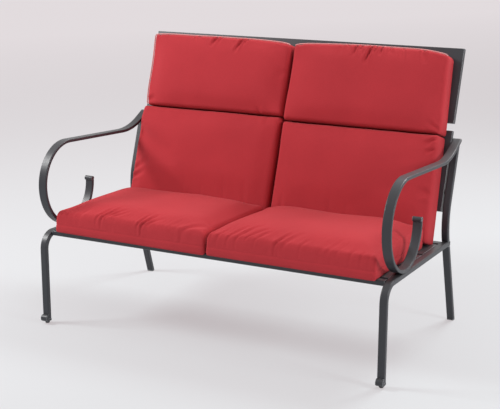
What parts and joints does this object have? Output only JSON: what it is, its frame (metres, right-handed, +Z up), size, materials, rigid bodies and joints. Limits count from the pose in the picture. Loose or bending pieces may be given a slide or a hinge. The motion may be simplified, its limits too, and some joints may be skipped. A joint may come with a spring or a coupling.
{
  "type": "patio loveseat",
  "caption": "Patio loveseat with a steel tube frame, scroll arms and loose high-back cushions side by side.",
  "frame": {"origin": "on the floor under the middle of the loveseat, halfway between the toes' front and the back's rearmost edge", "axes": "+X to the right of someone facing the front of the seat, along the seat's width; +Y backwards, from the front edge to the back; +Z up"},
  "size_m": [1.254, 0.7904, 0.9331],
  "materials": {
    "frame_paint": "satin",
    "cushion_cover": "matte",
    "black_plastic": "matte",
    "fixings": "satin"
  },
  "bodies": {
    "frame": {"deck_brace": "frame_paint", "front_rail": "frame_paint", "front_seat_panel": "frame_paint", "left_arm": "frame_paint", "left_arm_cap": "black_plastic", "left_arm_tip": "frame_paint", "left_back_post": "frame_paint", "left_front_glide": "black_plastic", "left_front_toe": "frame_paint", "left_leg_rail": "frame_paint", "left_rail_cap": "black_plastic", "left_rear_leg": "frame_paint", "left_rear_plug": "black_plastic", "left_upright": "frame_paint", "left_upright_cap": "black_plastic", "lower_back_panel": "frame_paint", "middle_seat_panel": "frame_paint", "post_bolts": "fixings", "post_nuts": "fixings", "post_spacers": "black_plastic", "rear_rail": "frame_paint", "rear_seat_panel": "frame_paint", "right_arm": "frame_paint", "right_arm_cap": "black_plastic", "right_arm_tip": "frame_paint", "right_back_post": "frame_paint", "right_front_glide": "black_plastic", "right_front_toe": "frame_paint", "right_leg_rail": "frame_paint", "right_rail_cap": "black_plastic", "right_rear_leg": "frame_paint", "right_rear_plug": "black_plastic", "right_upright": "frame_paint", "right_upright_cap": "black_plastic", "seat_bolts": "fixings", "seat_nuts": "fixings", "upper_back_panel": "frame_paint", "upright_bolts": "fixings", "upright_nuts": "fixings"},
    "left_cushion": {"left_seat_pad": "cushion_cover", "left_lower_back_pad": "cushion_cover", "left_upper_back_pad": "cushion_cover"},
    "right_cushion": {"right_seat_pad": "cushion_cover", "right_lower_back_pad": "cushion_cover", "right_upper_back_pad": "cushion_cover"}
  },
  "joints": [
    {"name": "left_cushion_lift", "type": "slide", "parent": "frame", "child": "left_cushion", "axis": [0, 0, 1], "range_m": [0, 0.3]},
    {"name": "right_cushion_lift", "type": "slide", "parent": "frame", "child": "right_cushion", "axis": [0, 0, 1], "range_m": [0, 0.3]}
  ]
}
